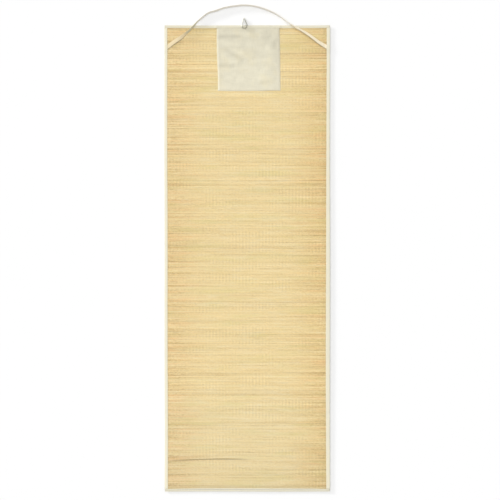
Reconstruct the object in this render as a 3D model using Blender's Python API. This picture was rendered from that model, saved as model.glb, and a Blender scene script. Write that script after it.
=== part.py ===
"""Straw beach mat laid out flat, with cotton bindings, a square patch, a carry strap and a closing loop.

Metres, +Z up. The mat lies in the XY plane with its length along Y and the strap at its +Y end.
The origin is in the middle of the mat's underside.
"""

import math
from collections import namedtuple

import bmesh
import bpy
from mathutils import Vector

# The mat and its straw
MAT_WIDTH = 0.600
MAT_LENGTH = 1.700
STRAW_THICKNESS = 0.0025
PRESSED_STRAW = 0.0013
HALF_WIDTH = MAT_WIDTH / 2
HALF_LENGTH = MAT_LENGTH / 2

# Touching pieces stand this far apart
GAP = 0.0003

# Cotton tape folded over the edges, with the top one's reach onto the straw
TAPE_CLOTH = 0.0006
TAPE_REACH = 0.0100
TAPE_END_INSET = 0.0010

# The side tapes stop short of the end ones, which is worked out this far in from the mat's nominal sides
CORNER_INSET = 0.0130
TAPE_HEIGHT = 2 * TAPE_CLOTH + 2 * GAP + PRESSED_STRAW
FOLD_RADIUS = TAPE_HEIGHT / 2
SEAM_MARGIN = 0.0004
SEAM_STEP = 0.0010

# How the outline wanders off its nominal lines: a shift, the drift from end to end, and a wave with its
# radians a metre and its start
Wander = namedtuple("Wander", "shift drift wave waviness start")
LEFT_WANDER = Wander(-0.0012, -0.0008, 0.0004, 9, 1)
RIGHT_WANDER = Wander(0.0028, 0, 0.0004, 7, 2)
TOP_WANDER = Wander(-0.0006, 0, 0.0003, 16, 1)
BOTTOM_WANDER = Wander(-0.0030, 0, -0.0004, 12, 0)

# How far in the tapes reach: the side ones narrow upwards, the right one bows in, the bottom one tapers
LEFT_REACH = 0.0112
RIGHT_REACH = 0.0128
SIDE_REACH_DRIFT = 0.0006
RIGHT_REACH_BOW = 0.0022
RIGHT_BOW_MIDDLE = -0.230
RIGHT_BOW_HALF = 0.750
BOTTOM_REACH = 0.0118
BOTTOM_REACH_TAPER = 0.0030

# Square patch, sewn in under the top tape
PATCH_CLOTH = 0.0010
PATCH_LEFT_TOP = -0.1114
PATCH_LEFT_BOTTOM = -0.1066
PATCH_RIGHT_TOP = 0.1192
PATCH_RIGHT_BOTTOM = 0.1226
PATCH_BOTTOM = 0.6100
PATCH_TUCK = 0.0060
PATCH_RISE_RAMP = 0.0080
PATCH_SIDE_WAVE = 0.0008
PATCH_SIDE_BOW = 0.0006
PATCH_HEM_SAG = 0.0009
CREASE_MARGIN = 0.0120
CREASE_SEAM_MARGIN = 0.0040

# Carry strap
STRAP_WIDTH = 0.0145
STRAP_CLOTH = 0.0012
STRAP_SQUARE_END = 0.0200

# Where a side tape rises over the strap's end: half its length, how far it lies up the mat, and its ramps
STRAP_RISE_HALF = 0.0118
STRAP_RISE_SHIFT = 0.0015
STRAP_RISE_RAMP = 0.0100

# Closing loop
LOOP_WIDTH = 0.0090
LOOP_CLOTH = 0.0010

# Where the edges curl up off the floor, and how far in that begins
RIGHT_LIFT = 0.0050
LEFT_LIFT = 0.0010
BOTTOM_LIFT = 0.0032
TOP_LIFT = 0.0008
LIFT_REACH = 0.1100
LEAST_LIFT = 0.75
RIGHT_LIFT_MIDDLE = -0.200
BOTTOM_LIFT_MIDDLE = 0.050

# The strap climbs onto the top tape before its edge
CLIMB_START = 0.0150
CLIMB_LENGTH = 0.0120

# What hangs over the top edge comes down to the floor within this distance
DROP_START = 0.0020
DROP_LENGTH = 0.0250

# Facets of the straw panel: close together where it curls up, wide apart on its flat
CURL_SPANS = 5
FLAT_COLUMNS = (0.44, 0.62)
FLAT_ROWS = 19
CLOSEST_STATIONS = 0.0020

# Facets of the patch, of the strap and of the loop
PATCH_SPANS = 22
ROUTE_STEPS = 5

# A tape's section: its share of the reach from the fold, and its angle round the fold
FoldPoint = namedtuple("FoldPoint", "reach_share angle_deg")
FOLD = (
    FoldPoint(1, 90),
    FoldPoint(0, 90),
    FoldPoint(0, 45),
    FoldPoint(0, 0),
    FoldPoint(0, -45),
    FoldPoint(0, -90),
    FoldPoint(1, -90),
)

# A flat tape's route: the place of its middle, its turn from lying flat, and its rise off what it lies on
Station = namedtuple("Station", "across along turn_deg rise", defaults=(0,))
STRAP_ROUTE = (
    Station(-0.2946, 0.7665, 0),
    Station(-0.2865, 0.7725, 0),
    Station(-0.2660, 0.7880, 2, 0.0020),
    Station(-0.2490, 0.7990, 12, 0.0020),
    Station(-0.2370, 0.8070, 34, 0.0010),
    Station(-0.2250, 0.8170, 56),
    Station(-0.2105, 0.8290, 70),
    Station(-0.1920, 0.8490, 75),
    Station(-0.1700, 0.8720, 76),
    Station(-0.1360, 0.8960, 76),
    Station(-0.1180, 0.9010, 76),
    Station(-0.0840, 0.9120, 76),
    Station(-0.0440, 0.9195, 76),
    Station(-0.0060, 0.9220, 76),
    Station(0.0290, 0.9180, 76),
    Station(0.0560, 0.9110, 77),
    Station(0.0920, 0.8970, 79),
    Station(0.1240, 0.8780, 86),
    Station(0.1510, 0.8580, 101),
    Station(0.1800, 0.8400, 121),
    Station(0.2095, 0.8240, 136, 0.0010),
    Station(0.2362, 0.8057, 143, 0.0025),
    Station(0.2590, 0.7882, 148, 0.0025),
    Station(0.2757, 0.7783, 164, 0.0012),
    Station(0.2864, 0.7722, 180),
    Station(0.2946, 0.7680, 180),
)
LOOP_ROUTE = (
    Station(-0.0122, 0.8365, 90),
    Station(-0.0190, 0.8430, 98),
    Station(-0.0208, 0.8500, 107),
    Station(-0.0182, 0.8610, 108),
    Station(-0.0142, 0.8715, 98),
    Station(-0.0108, 0.8765, 92),
    Station(-0.0074, 0.8715, 98),
    Station(-0.0040, 0.8610, 108),
    Station(0.0004, 0.8505, 107),
    Station(-0.0018, 0.8430, 98),
    Station(-0.0088, 0.8365, 90),
)

# Soft creases in the patch: the ends of the ridge, its width and its height
Crease = namedtuple("Crease", "from_across from_along to_across to_along width height")
CREASES = (
    Crease(-0.092, 0.822, 0.010, 0.818, 0.016, 0.0016),
    Crease(-0.098, 0.788, -0.008, 0.738, 0.016, 0.0022),
    Crease(-0.090, 0.722, -0.040, 0.716, 0.014, 0.0016),
    Crease(0.078, 0.762, 0.112, 0.826, 0.018, 0.0020),
    Crease(0.012, 0.780, 0.085, 0.742, 0.020, 0.0014),
    Crease(-0.035, 0.690, 0.060, 0.668, 0.024, 0.0010),
)

COTTON = (0.86, 0.81, 0.66)
SHADED_COTTON = (0.80, 0.75, 0.60)
PALE_COTTON = (0.78, 0.73, 0.58)
STRAW = (0.80, 0.62, 0.34)


def ease(share):
    """0 to 1 with a soft start and end."""
    share = min(max(share, 0.0), 1.0)
    return share * share * (3 - 2 * share)


def swell(place, middle, reach):
    """1 at the middle, easing to 0 at the reach on both sides."""
    return 1 - ease(abs(place - middle) / reach)


def wander(edge, place, half_length):
    """How far an edge is off its straight line at a place along it."""
    wave = edge.wave * math.sin(edge.waviness * place + edge.start)
    return edge.shift + edge.drift * place / half_length + wave


def left_edge(along):
    return -HALF_WIDTH + wander(LEFT_WANDER, along, HALF_LENGTH)


def right_edge(along):
    return HALF_WIDTH + wander(RIGHT_WANDER, along, HALF_LENGTH)


def top_edge(across):
    return HALF_LENGTH + wander(TOP_WANDER, across, HALF_WIDTH)


def bottom_edge(across):
    return -HALF_LENGTH + wander(BOTTOM_WANDER, across, HALF_WIDTH)


def left_reach(along):
    return LEFT_REACH - SIDE_REACH_DRIFT * along / HALF_LENGTH


def right_reach(along):
    bow = RIGHT_REACH_BOW * swell(along, RIGHT_BOW_MIDDLE, RIGHT_BOW_HALF)
    return RIGHT_REACH - SIDE_REACH_DRIFT * along / HALF_LENGTH + bow


def top_reach(across):
    return TAPE_REACH


def bottom_reach(across):
    return BOTTOM_REACH - BOTTOM_REACH_TAPER * (across / HALF_WIDTH) ** 4


def lift(across, along):
    """How far the mat curls up off the floor at a place."""
    right = RIGHT_LIFT * ease((across - HALF_WIDTH + LIFT_REACH) / LIFT_REACH)
    left = LEFT_LIFT * ease((-across - HALF_WIDTH + LIFT_REACH) / LIFT_REACH)
    bottom = BOTTOM_LIFT * ease((-along - HALF_LENGTH + LIFT_REACH) / LIFT_REACH)
    top = TOP_LIFT * ease((along - HALF_LENGTH + LIFT_REACH) / LIFT_REACH)
    right *= LEAST_LIFT + (1 - LEAST_LIFT) * swell(along, RIGHT_LIFT_MIDDLE, HALF_LENGTH)
    bottom *= LEAST_LIFT + (1 - LEAST_LIFT) * swell(across, BOTTOM_LIFT_MIDDLE, HALF_WIDTH)
    return max(right, bottom) + left + top


def material(name, colour, roughness):
    """A plain Principled material."""
    finish = bpy.data.materials.new(name)
    finish.use_nodes = True
    shader = finish.node_tree.nodes["Principled BSDF"]
    shader.inputs["Base Color"].default_value = (*colour, 1)
    shader.inputs["Roughness"].default_value = roughness
    shader.inputs["Metallic"].default_value = 0
    return finish


def cloth(name, columns, rows, top, bottom, finish):
    """A closed sheet: a grid whose two faces are placed by top and bottom from a column's and row's number."""
    mesh = bmesh.new()
    bmesh.ops.create_grid(mesh, x_segments=columns - 1, y_segments=rows - 1, size=0.5)
    underside = set(mesh.verts)
    bmesh.ops.extrude_face_region(mesh, geom=mesh.faces[:], use_keep_orig=True)
    for vertex in mesh.verts:
        column = round((vertex.co.x + 0.5) * (columns - 1))
        row = round((vertex.co.y + 0.5) * (rows - 1))
        place = bottom if vertex in underside else top
        vertex.co = place(column, row)
    bmesh.ops.recalc_face_normals(mesh, faces=mesh.faces[:])
    if mesh.calc_volume(signed=True) < 0:
        bmesh.ops.reverse_faces(mesh, faces=mesh.faces[:])
    data = bpy.data.meshes.new(name)
    mesh.to_mesh(data)
    mesh.free()
    data.shade_smooth()
    data.set_sharp_from_angle(angle=math.radians(40))
    data.materials.append(finish)
    piece = bpy.data.objects.new(name, data)
    bpy.context.scene.collection.objects.link(piece)
    return piece


def curl_shares(length, flat):
    """Shares of the open straw's length or width: several where each edge curls up, and the flat ones between."""
    curl = (LIFT_REACH - TAPE_REACH) / length
    near = [curl * span / CURL_SPANS for span in range(1, CURL_SPANS + 1)]
    far = [1 - share for share in reversed(near)]
    return near + list(flat) + far


def panel_lines(low_fold, low_seam, high_seam, high_fold, shares):
    """Lines across the panel: edge, seam, step, the open straw, and the same three at the far side."""
    low_open = low_seam + SEAM_MARGIN + SEAM_STEP
    high_open = high_seam - SEAM_MARGIN - SEAM_STEP
    middle = [low_open + (high_open - low_open) * share for share in shares]
    low = [low_fold, low_seam + SEAM_MARGIN, low_open]
    high = [high_open, high_seam - SEAM_MARGIN, high_fold]
    return low + middle + high


def panel_across(along):
    left = left_edge(along)
    right = right_edge(along)
    shares = curl_shares(MAT_WIDTH - 2 * TAPE_REACH, FLAT_COLUMNS)
    return panel_lines(
        left + FOLD_RADIUS, left + left_reach(along), right - right_reach(along), right - FOLD_RADIUS, shares
    )


def panel_along(across):
    bottom = bottom_edge(across)
    top = top_edge(across)
    curl = LIFT_REACH / MAT_LENGTH
    flat = [curl + (1 - 2 * curl) * row / FLAT_ROWS for row in range(1, FLAT_ROWS)]
    shares = curl_shares(MAT_LENGTH - 2 * TAPE_REACH, flat)
    return panel_lines(
        bottom + FOLD_RADIUS, bottom + bottom_reach(across), top - top_reach(across), top - FOLD_RADIUS, shares
    )


def straw_panel():
    """The woven straw, pressed thin where the tapes are sewn over its edges."""
    columns = len(panel_across(0))
    rows = len(panel_along(0))

    def place(column, row, open_height, pressed_height):
        across = panel_across(panel_along(0)[row])[column]
        along = panel_along(across)[row]
        pressed = column < 2 or row < 2 or column > columns - 3 or row > rows - 3
        height = pressed_height if pressed else open_height
        return Vector((across, along, height + lift(across, along)))

    def top(column, row):
        return place(column, row, STRAW_THICKNESS, TAPE_HEIGHT - TAPE_CLOTH - GAP)

    def bottom(column, row):
        return place(column, row, 0, TAPE_CLOTH + GAP)

    cloth("straw_panel", columns, rows, top, bottom, material("straw", STRAW, 0.7))


def stations(start, end, lines, extra=()):
    """Places along a tape: those of the straw's own facets, and the extra ones where it rises over something."""
    fixed = [start, end, *extra]
    inside = [line for line in lines if start < line < end]
    clear = [line for line in inside if all(abs(line - other) > CLOSEST_STATIONS for other in fixed)]
    return sorted(fixed + clear)


def ramp_stations(low, high, ramp):
    """The four places where a tape starts to rise over something, is up, starts down and is down."""
    return (low - ramp, low, high, high + ramp)


def rise(place, low, high, ramp, height):
    """A tape's rise over what lies between low and high under it."""
    outside = max(low - place, place - high, 0)
    return height * max(0, 1 - outside / ramp)


def binding(name, places, edge, reach, rise_at, point):
    """A tape folded over one edge. point turns a depth in from the edge and a place along it to across, along."""
    finish = material(name, SHADED_COTTON, 0.9)

    def on_fold(fold, place, radius):
        angle = math.radians(fold.angle_deg)
        depth = FOLD_RADIUS - radius * math.cos(angle) + fold.reach_share * (reach(place) - FOLD_RADIUS)
        height = FOLD_RADIUS + radius * math.sin(angle) + rise_at(place) * (1 + math.sin(angle)) / 2
        across, along = point(edge(place), depth, place)
        return Vector((across, along, height + lift(across, along)))

    def outer(column, row):
        return on_fold(FOLD[column], places[row], FOLD_RADIUS)

    def inner(column, row):
        return on_fold(FOLD[column], places[row], FOLD_RADIUS - TAPE_CLOTH)

    cloth(name, len(FOLD), len(places), outer, inner, finish)


def side_bindings():
    """The tapes of the long edges, between the end tapes and up over the ends of the strap."""
    over_strap = STRAP_CLOTH + STRAW_THICKNESS + 2 * GAP - (TAPE_HEIGHT - TAPE_CLOTH)
    sides = (
        ("binding_left", left_edge, left_reach, 1, STRAP_ROUTE[0]),
        ("binding_right", right_edge, right_reach, -1, STRAP_ROUTE[-1]),
    )
    for name, edge, reach, inwards, end in sides:
        corner = -inwards * (HALF_WIDTH - CORNER_INSET)
        start = bottom_edge(corner) + bottom_reach(corner) + GAP
        finish = top_edge(corner) - top_reach(corner) - GAP
        middle = end.along + STRAP_RISE_SHIFT
        strap = (middle - STRAP_RISE_HALF, middle + STRAP_RISE_HALF, STRAP_RISE_RAMP)
        binding(
            name,
            stations(start, finish, panel_along(corner), ramp_stations(*strap)),
            edge,
            reach,
            lambda place, strap=strap: rise(place, *strap, over_strap),
            lambda line, depth, place, inwards=inwards: (line + inwards * depth, place),
        )


def end_bindings():
    """The tapes of the short edges, over the full width. The top one runs over the patch."""
    over_patch = PATCH_CLOTH + STRAW_THICKNESS + 2 * GAP - (TAPE_HEIGHT - TAPE_CLOTH)
    patch = (PATCH_LEFT_TOP - 2 * GAP, PATCH_RIGHT_TOP + 2 * GAP, PATCH_RISE_RAMP)
    start = left_edge(HALF_LENGTH) + TAPE_END_INSET
    finish = right_edge(HALF_LENGTH) - TAPE_END_INSET
    binding(
        "binding_top",
        stations(start, finish, panel_across(HALF_LENGTH), ramp_stations(*patch)),
        top_edge,
        top_reach,
        lambda place: rise(place, *patch, over_patch),
        lambda line, depth, place: (place, line - depth),
    )
    start = left_edge(-HALF_LENGTH) + TAPE_END_INSET
    finish = right_edge(-HALF_LENGTH) - TAPE_END_INSET
    binding(
        "binding_bottom",
        stations(start, finish, panel_across(-HALF_LENGTH)),
        bottom_edge,
        bottom_reach,
        lambda place: 0,
        lambda line, depth, place: (place, line + depth),
    )


def crease_height(across, along):
    """Height of the patch's creases above the straw, which is nothing near its sewn edges."""
    height = 0
    for crease in CREASES:
        start = Vector((crease.from_across, crease.from_along))
        line = Vector((crease.to_across, crease.to_along)) - start
        share = (Vector((across, along)) - start).dot(line) / line.length_squared
        share = min(max(share, 0), 1)
        away = (Vector((across, along)) - start - line * share).length
        height = max(height, crease.height * (1 - ease(away / crease.width)))
    inside = min(
        across - PATCH_LEFT_BOTTOM,
        PATCH_RIGHT_TOP - across,
        along - PATCH_BOTTOM,
        HALF_LENGTH - TAPE_REACH - CREASE_SEAM_MARGIN - along,
    )
    return height * ease(inside / CREASE_MARGIN)


def patch():
    """The square of cotton, a little uneven at its sides, with its top edge under the tape."""
    count = PATCH_SPANS + 1
    seam = HALF_LENGTH - TAPE_REACH
    lines = [PATCH_BOTTOM + (seam - PATCH_BOTTOM) * row / PATCH_SPANS for row in range(count)]
    lines.append(seam + PATCH_TUCK)

    def place(column, row, height):
        share = (lines[row] - PATCH_BOTTOM) / (seam - PATCH_BOTTOM)
        left = PATCH_LEFT_BOTTOM + (PATCH_LEFT_TOP - PATCH_LEFT_BOTTOM) * min(share, 1)
        left += PATCH_SIDE_WAVE * math.sin(7 * share)
        right = PATCH_RIGHT_BOTTOM + (PATCH_RIGHT_TOP - PATCH_RIGHT_BOTTOM) * min(share, 1)
        right += PATCH_SIDE_BOW * math.sin(math.pi * min(share, 1))
        across = left + (right - left) * column / PATCH_SPANS
        sag = PATCH_HEM_SAG * math.sin(5 * column / PATCH_SPANS) * (1 - min(share, 1))
        along = lines[row] - sag
        over = lift(across, along) + crease_height(across, along)
        return Vector((across, along, STRAW_THICKNESS + GAP + height + over))

    def top(column, row):
        return place(column, row, PATCH_CLOTH)

    def bottom(column, row):
        return place(column, row, 0)

    cloth("patch", count, len(lines), top, bottom, material("patch", PALE_COTTON, 0.9))


def route(rows):
    """Stations on a smooth curve through the rows, each with its place, turn and heading."""
    points = [Vector(row) for row in rows]
    reach = [0]
    for before, after in zip(points, points[1:]):
        reach.append(reach[-1] + (after.xy - before.xy).length)
    paces = [(b - a) / (t - s) for a, b, s, t in zip(points, points[1:], reach, reach[1:])]
    slopes = [paces[0]]
    for before, after, s, t in zip(paces, paces[1:], reach, reach[2:]):
        middle = reach[len(slopes)]
        slopes.append((before * (t - middle) + after * (middle - s)) / (t - s))
    slopes.append(paces[-1])
    places = []
    for span in range(len(points) - 1):
        width = reach[span + 1] - reach[span]
        for step in range(ROUTE_STEPS):
            t = step / ROUTE_STEPS
            places.append(
                points[span] * (2 * t**3 - 3 * t**2 + 1)
                + slopes[span] * width * (t**3 - 2 * t**2 + t)
                + points[span + 1] * (3 * t**2 - 2 * t**3)
                + slopes[span + 1] * width * (t**3 - t**2)
            )
    places.append(points[-1])
    headings = []
    for number in range(len(places)):
        before = places[max(number - 1, 0)]
        after = places[min(number + 1, len(places) - 1)]
        headings.append((after.xy - before.xy).normalized())
    return places, headings


def flat_tape(name, rows, width, thickness, rest, square_end, finish):
    """A tape along a route that lies flat or stands on its edge. Its ends are cut square to the mat."""
    places, headings = route(rows)
    lengths = [0]
    for before, after in zip(places, places[1:]):
        lengths.append(lengths[-1] + (after.xy - before.xy).length)
    columns = 3

    def place(column, row, side):
        turn = math.radians(places[row].z)
        heading = headings[row]
        outward = Vector((-heading.y, heading.x))
        out = (column - 1) * width / 2
        through = side * thickness / 2
        offset = out * math.cos(turn) - through * math.sin(turn)
        spot = places[row].xy + outward * offset
        if square_end:
            to_end = min(lengths[row], lengths[-1] - lengths[row])
            slant = (1 - ease(to_end / square_end)) * heading.y / heading.x
            spot += heading * offset * slant
        lowest = width / 2 * abs(math.sin(turn)) + thickness / 2 * abs(math.cos(turn))
        height = places[row].w + lowest + out * math.sin(turn) + through * math.cos(turn)
        return Vector((spot.x, spot.y, rest(spot.x, spot.y) + height))

    def top(column, row):
        return place(column, row, 1)

    def bottom(column, row):
        return place(column, row, -1)

    cloth(name, columns, len(places), top, bottom, finish)


def past_the_edge(along):
    """0 on the mat, easing to 1 where what leaves the top edge is down on the floor."""
    return ease((along - HALF_LENGTH - DROP_START) / DROP_LENGTH)


def strap_rest(across, along):
    """What the strap lies on: the straw, then the top tape, then the floor."""
    seam = HALF_LENGTH - TAPE_REACH
    on_tape = ease((along - seam + CLIMB_START) / CLIMB_LENGTH)
    height = STRAW_THICKNESS + (TAPE_HEIGHT - STRAW_THICKNESS) * on_tape + GAP + lift(across, along)
    return height * (1 - past_the_edge(along))


def loop_rest(across, along):
    """What the loop stands on: the top tape where it runs over the patch, then the floor."""
    height = STRAW_THICKNESS + PATCH_CLOTH + TAPE_CLOTH + 3 * GAP + lift(across, along)
    return height * (1 - past_the_edge(along))


def main():
    for thing in list(bpy.data.objects):
        bpy.data.objects.remove(thing)
    straw_panel()
    side_bindings()
    end_bindings()
    patch()
    flat_tape(
        "carry_strap",
        STRAP_ROUTE,
        STRAP_WIDTH,
        STRAP_CLOTH,
        strap_rest,
        STRAP_SQUARE_END,
        material("strap", COTTON, 0.85),
    )
    flat_tape(
        "closing_loop",
        LOOP_ROUTE,
        LOOP_WIDTH,
        LOOP_CLOTH,
        loop_rest,
        None,
        material("loop", COTTON, 0.85),
    )


main()
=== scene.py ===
"""The looks of a woven straw beach mat: every straw and warp thread, cotton tapes folded over the edges,
a square cotton patch, a carry strap, a closing loop and all the stitching.

Metres, +Z up. The mat lies in the XY plane with its length along Y and the strap at its +Y end.
"""

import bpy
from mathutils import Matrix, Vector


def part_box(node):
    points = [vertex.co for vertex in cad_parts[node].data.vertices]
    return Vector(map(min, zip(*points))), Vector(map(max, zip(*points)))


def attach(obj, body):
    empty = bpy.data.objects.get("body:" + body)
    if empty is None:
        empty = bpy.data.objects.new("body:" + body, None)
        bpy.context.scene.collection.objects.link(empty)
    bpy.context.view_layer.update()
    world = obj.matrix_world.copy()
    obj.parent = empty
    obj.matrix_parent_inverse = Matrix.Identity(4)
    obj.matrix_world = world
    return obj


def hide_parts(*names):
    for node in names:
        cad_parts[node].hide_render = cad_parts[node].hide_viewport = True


bl_info = {
    "name": "Straw Beach Mat",
    "version": (1, 0, 0),
    "blender": (4, 5, 0),
    "location": "3D View > Sidebar > Beach Mat",
    "description": "Builds a woven straw beach mat with cotton tapes, a patch, a carry strap and a closing loop",
    "category": "Add Mesh",
}

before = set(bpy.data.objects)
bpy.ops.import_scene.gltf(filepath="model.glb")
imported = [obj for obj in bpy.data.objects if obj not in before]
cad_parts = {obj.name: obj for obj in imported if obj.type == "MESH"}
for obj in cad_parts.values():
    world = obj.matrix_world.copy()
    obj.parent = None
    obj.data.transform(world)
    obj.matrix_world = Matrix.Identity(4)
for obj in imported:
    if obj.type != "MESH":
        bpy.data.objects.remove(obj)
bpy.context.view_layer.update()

import math
from collections import namedtuple

import bmesh
import bpy
import numpy as np
from bpy.props import FloatProperty, FloatVectorProperty, IntProperty, PointerProperty
from bpy.types import Operator, Panel, PropertyGroup
from mathutils import Matrix, Vector, noise
from mathutils.bvhtree import BVHTree

ACROSS, ALONG, UP = 0, 1, 2
SEED = 7

# UV maps: metres along a piece and the number of a straw or thread, and the layout that a bake uses
RUN_MAP = "run"
BAKE_MAP = "OFBake"

# Attributes: how far a straw has sunk between its neighbours, which also sets its painted shadow, and the painted light
# and shade on a spot of cloth
SUNKEN = "sunken"
SHADING_ATTRIBUTE = "tone"
SUNKEN_ALONG = -0.7405

# Corners of a solid closer than this along an axis lie on one row of it
ROW_GAP = 0.0005

# Rays that find a solid's surface start this far above or below it
RAY_START = 0.5

# Touching pieces stand this far apart
GAP = 0.0003

# What hangs over the mat's end comes down to the floor, and what lies on the end tape climbs it
DROP_START = 0.0020
DROP_LENGTH = 0.0250
CLIMB_START = 0.0150
CLIMB_LENGTH = 0.0120
TAPE_STEP = 0.0006

# Straws: rings along each, sides, and points where the lines between straws may wander
STRAW_SPANS = 23
STRAW_SIDES = 6
WANDER_POINTS = 8
STRAW_BAKE_COLUMNS = 3

# Places of the rings under and beside the side tapes, as shares of a straw's length
LEFT_RINGS = (0.0005, 0.0162, 0.0198)
RIGHT_RINGS = (0.9765, 0.9805, 0.9995)
SAFE_SHARE = 0.004

# Threads: how far from a straw's middle a thread bends down, as a share of the straw's width
THREAD_SIDES = 3
THREAD_HOLD = 0.27

# A flat tape's route: the place of its middle, its turn from lying flat, and its rise off what it lies on
Station = namedtuple("Station", "across along turn_deg rise", defaults=(0,))
STRAP_ROUTE = (
    Station(-0.2946, 0.7665, 0),
    Station(-0.2865, 0.7725, 0),
    Station(-0.2660, 0.7880, 2, 0.0020),
    Station(-0.2490, 0.7990, 12, 0.0020),
    Station(-0.2370, 0.8070, 34, 0.0010),
    Station(-0.2250, 0.8170, 56),
    Station(-0.2105, 0.8290, 70),
    Station(-0.1920, 0.8490, 75),
    Station(-0.1700, 0.8720, 76),
    Station(-0.1360, 0.8960, 76),
    Station(-0.1180, 0.9010, 76),
    Station(-0.0840, 0.9120, 76),
    Station(-0.0440, 0.9195, 76),
    Station(-0.0060, 0.9220, 76),
    Station(0.0290, 0.9180, 76),
    Station(0.0560, 0.9110, 77),
    Station(0.0920, 0.8970, 79),
    Station(0.1240, 0.8780, 86),
    Station(0.1510, 0.8580, 101),
    Station(0.1800, 0.8400, 121),
    Station(0.2095, 0.8240, 136, 0.0010),
    Station(0.2362, 0.8057, 143, 0.0025),
    Station(0.2590, 0.7882, 148, 0.0025),
    Station(0.2757, 0.7783, 164, 0.0012),
    Station(0.2864, 0.7722, 180),
    Station(0.2946, 0.7680, 180),
)
LOOP_ROUTE = (
    Station(-0.0122, 0.8365, 90),
    Station(-0.0190, 0.8430, 98),
    Station(-0.0208, 0.8500, 107),
    Station(-0.0182, 0.8610, 108),
    Station(-0.0142, 0.8715, 98),
    Station(-0.0108, 0.8765, 92),
    Station(-0.0074, 0.8715, 98),
    Station(-0.0040, 0.8610, 108),
    Station(0.0004, 0.8505, 107),
    Station(-0.0018, 0.8430, 98),
    Station(-0.0088, 0.8365, 90),
)
STRAP_SQUARE_END = 0.0200

# Between which places along the strap and the loop their other colours come in: painted shade at the strap's
# twist, the left end's own colour, painted light on the right end, and painted shade on the loop's right leg and foot
TWIST_SHADE = (0.165, 0.125)
LEFT_END_COLOUR = (0.100, 0.080)
RIGHT_END_LIGHT = (0.470, 0.520)
LOOP_SHADE = (0.046, 0.054)
LOOP_FOOT_SHADE = (0.012, 0.006)

# Painted light and shade of folds in the patch: the ends of each, its width and how much lighter the cloth is painted
# there
Fold = namedtuple("Fold", "from_across from_along to_across to_along width tone")
PATCH_FOLD_SHADES = (
    Fold(-0.102, 0.806, -0.030, 0.809, 0.015, -0.065),
    Fold(-0.066, 0.783, -0.036, 0.779, 0.014, 0.040),
    Fold(-0.075, 0.760, -0.018, 0.722, 0.012, -0.065),
    Fold(-0.046, 0.762, 0.004, 0.730, 0.012, 0.030),
    Fold(-0.084, 0.727, -0.040, 0.719, 0.012, 0.040),
    Fold(-0.098, 0.703, -0.052, 0.703, 0.013, -0.085),
    Fold(0.072, 0.812, 0.112, 0.776, 0.026, -0.070),
    Fold(0.108, 0.788, 0.114, 0.768, 0.009, 0.050),
    Fold(-0.040, 0.660, 0.060, 0.672, 0.030, 0.025),
    Fold(-0.030, 0.628, 0.090, 0.640, 0.018, -0.025),
)

# The tapes: the axis along each, if its fold is at the low side, how light it is painted for the light it
# gets (the top one darker for its shade), how far its seam is from its inner edge, and how dark the painted
# shade in the crease along the seam is
Tape = namedtuple("Tape", "name axis outer_low tone seam crease")
TAPES = (
    Tape("binding_left", ALONG, True, 1.03, 0.0018, 0),
    Tape("binding_right", ALONG, False, 0.985, 0.0018, 0),
    Tape("binding_top", ACROSS, False, 0.93, 0.0018, 0.03),
    Tape("binding_bottom", ACROSS, True, 0.995, 0.0047, 0.46),
)


class StrawSettings(PropertyGroup):
    """Sizes and colours of the straws."""

    width: FloatProperty(name="Width", description="Mean width of a straw", default=0.0025, unit="LENGTH")
    gap: FloatProperty(name="Gap", description="Gap between two straws", default=0.00018, unit="LENGTH")
    fill: FloatProperty(
        name="Height", description="Height of a straw as a share of the mat's", default=0.80, subtype="FACTOR"
    )
    taper: FloatProperty(
        name="Taper", description="How much thicker a straw is at its butt", default=0.22, subtype="FACTOR"
    )
    sway: FloatProperty(
        name="Sway", description="How far the straws wave to and fro", default=0.0016, unit="LENGTH"
    )
    bow: FloatProperty(
        name="Bow", description="How far the straws bow near the mat's lower end", default=0.0052, unit="LENGTH"
    )
    pale: FloatVectorProperty(name="Pale", description="Palest straw", subtype="COLOR", default=(0.98, 0.838, 0.517))
    middle: FloatVectorProperty(
        name="Middle", description="Usual straw", subtype="COLOR", default=(0.883, 0.714, 0.382)
    )
    dark: FloatVectorProperty(name="Dark", description="Darkest straw", subtype="COLOR", default=(0.643, 0.481, 0.227))
    warm: FloatVectorProperty(
        name="Warm", description="Reddish patches near the sides", subtype="COLOR", default=(0.925, 0.635, 0.325)
    )
    shadow: FloatVectorProperty(
        name="Shadow", description="Straws in the shadow of their neighbours", subtype="COLOR", default=(0.50, 0.36, 0.15)
    )
    green: FloatVectorProperty(
        name="Green", description="Greenish patches", subtype="COLOR", default=(0.735, 0.662, 0.285)
    )
    bleached: FloatVectorProperty(
        name="Bleached", description="Bleached lengths of straw", subtype="COLOR", default=(0.878, 0.787, 0.528)
    )


class ThreadSettings(PropertyGroup):
    """Sizes and colour of the warp threads."""

    spacing: FloatProperty(name="Spacing", description="From thread to thread", default=0.0121, unit="LENGTH")
    thickness: FloatProperty(name="Thickness", description="Thread's thickness", default=0.00050, unit="LENGTH")
    colour: FloatVectorProperty(name="Colour", description="Cotton thread", subtype="COLOR", default=(0.80, 0.69, 0.46))


class TapeSettings(PropertyGroup):
    """Sizes and colour of the cotton tapes folded over the edges."""

    cloth: FloatProperty(name="Cloth", description="Thickness of the tape", default=0.0006, unit="LENGTH")
    step: FloatProperty(name="Step", description="Spacing of the tape's facets", default=0.0024, unit="LENGTH")
    pucker: FloatProperty(name="Pucker", description="Height of the tape's ripples", default=0.00030, unit="LENGTH")
    colour: FloatVectorProperty(name="Colour", description="Tape", subtype="COLOR", default=(0.73, 0.69, 0.545))


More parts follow.
